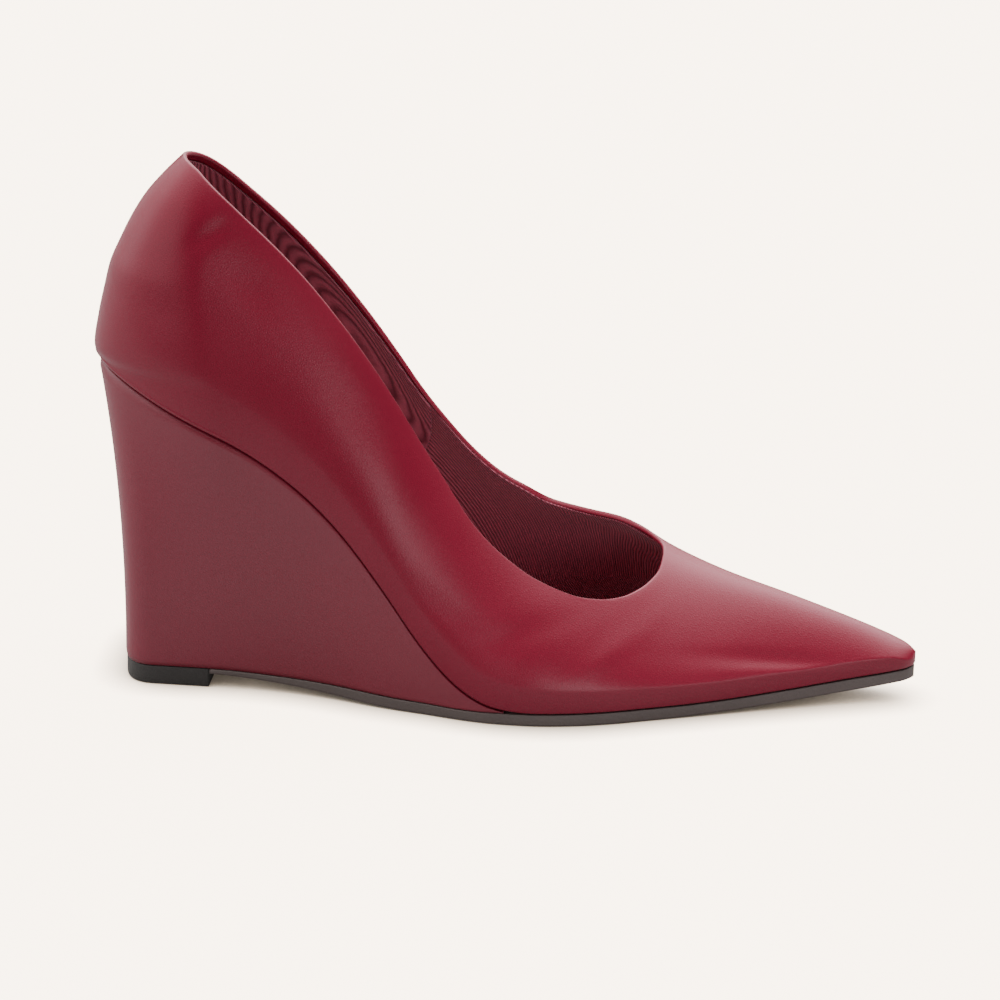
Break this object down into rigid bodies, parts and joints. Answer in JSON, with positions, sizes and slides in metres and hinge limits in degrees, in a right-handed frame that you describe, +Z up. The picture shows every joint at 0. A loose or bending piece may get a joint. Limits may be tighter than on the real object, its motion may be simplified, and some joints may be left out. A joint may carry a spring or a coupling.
{
  "type": "wedge heel pump",
  "caption": "Woman's pointed pump on a high leather-covered wedge, with a low-cut smooth leather upper, a cloth-lined inside, a thin outsole and a heel lift",
  "frame": {"origin": "centre of the heel lift's ground face", "axes": "+X from heel to toe, +Y to the inner side of the foot, +Z up from the ground"},
  "size_m": [0.2449, 0.0759, 0.1566],
  "materials": {
    "upper_leather": "smooth burgundy leather with a soft gloss",
    "insole_cloth": "matte ribbed burgundy cloth",
    "wedge_leather": "smooth burgundy leather with a soft gloss",
    "outsole_rubber": "matte charcoal rubber",
    "lift_rubber": "matte charcoal rubber"
  },
  "bodies": {
    "root": {"upper": "upper_leather", "insole": "insole_cloth", "wedge": "wedge_leather", "outsole": "outsole_rubber", "heel_lift": "lift_rubber"}
  },
  "joints": []
}
